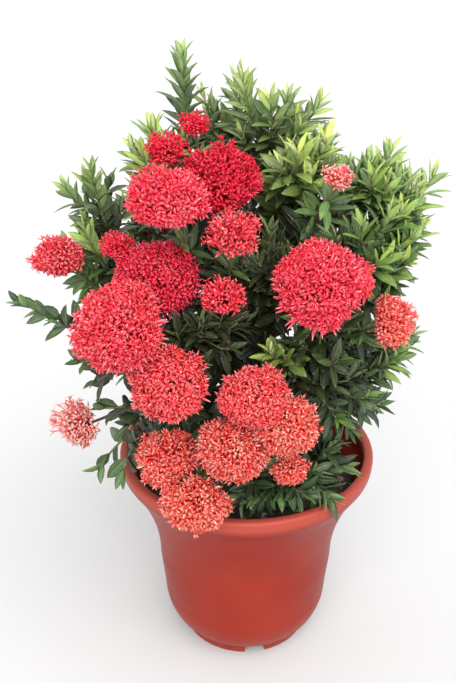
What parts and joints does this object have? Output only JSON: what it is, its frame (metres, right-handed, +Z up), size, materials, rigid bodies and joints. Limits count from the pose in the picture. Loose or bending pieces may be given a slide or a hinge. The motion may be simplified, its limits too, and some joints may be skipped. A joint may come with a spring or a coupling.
{
  "type": "potted ixora",
  "caption": "Flowering dwarf ixora shrub with domed coral-red flower heads and small opposite leaves, planted in a bell-shaped terracotta-coloured plastic pot with a rolled lip.",
  "frame": {"origin": "middle of the flat pad on the pot's underside, which stands on the floor", "axes": "+Z up through the pot's axis; -Y towards the shrub's best side, where most of the flower heads are; +X to that side's right"},
  "size_m": [0.3846, 0.3318, 0.6088],
  "materials": {
    "pot_plastic": "satin",
    "soil": "matte",
    "bark": "matte",
    "leaf": "satin",
    "petals_red": "matte",
    "petals_salmon": "matte"
  },
  "bodies": {
    "root": {"pot": "pot_plastic", "potting_soil": "soil", "main_stem_front_left": "bark", "main_stem_front_right": "bark", "main_stem_left": "bark", "main_stem_right": "bark", "main_stem_back": "bark", "main_stem_centre_left": "bark", "main_stem_centre_right": "bark", "flower_head_over_rim": "petals_salmon", "flower_head_low_left": "petals_salmon", "flower_head_low_centre": "petals_salmon", "flower_head_centre_dome": "petals_red", "flower_head_left_big": "petals_red", "flower_head_low_small": "petals_salmon", "flower_head_low_right": "petals_salmon", "flower_head_right_of_centre": "petals_salmon", "flower_head_right_big": "petals_red", "flower_head_far_left_low": "petals_salmon", "flower_head_far_left": "petals_red", "flower_head_left_small": "petals_red", "flower_head_far_right": "petals_salmon", "flower_head_back_right": "petals_red", "flower_head_back_left": "petals_red", "flower_head_middle": "petals_red", "flower_head_middle_right": "petals_red", "flower_head_under_top": "petals_red", "flower_head_top_left_dome": "petals_red", "flower_head_top_back": "petals_red", "flower_head_top_centre": "petals_red", "flower_head_top_small": "petals_red", "flower_head_back_upper": "petals_red", "flower_head_pink_bud": "petals_salmon", "leafy_shoot_low_left": "leaf", "leafy_shoot_front_middle": "leaf", "leafy_shoot_inside_rim": "leaf", "leafy_shoot_front_dark": "leaf", "leafy_shoot_front_bright": "leaf", "leafy_shoot_left_drooping": "leaf", "leafy_shoot_left_dark": "leaf", "leafy_shoot_left_twig": "leaf", "leafy_shoot_left_middle": "leaf", "leafy_shoot_left_upper": "leaf", "leafy_shoot_right_low": "leaf", "leafy_shoot_right_lower": "leaf", "leafy_shoot_right_dark": "leaf", "leafy_shoot_right_outer": "leaf", "leafy_shoot_right_upper": "leaf", "leafy_shoot_back_low_left": "leaf", "leafy_shoot_back_low_right": "leaf", "leafy_shoot_back_low": "leaf", "leafy_shoot_back_right": "leaf", "leafy_shoot_back_left": "leaf", "leafy_shoot_back_middle": "leaf", "leafy_shoot_top_left": "leaf", "leafy_shoot_top_tall": "leaf", "leafy_shoot_middle_upper": "leaf", "leafy_shoot_top_fourth": "leaf", "leafy_shoot_back_upper": "leaf", "leafy_shoot_top_right": "leaf"}
  },
  "joints": []
}
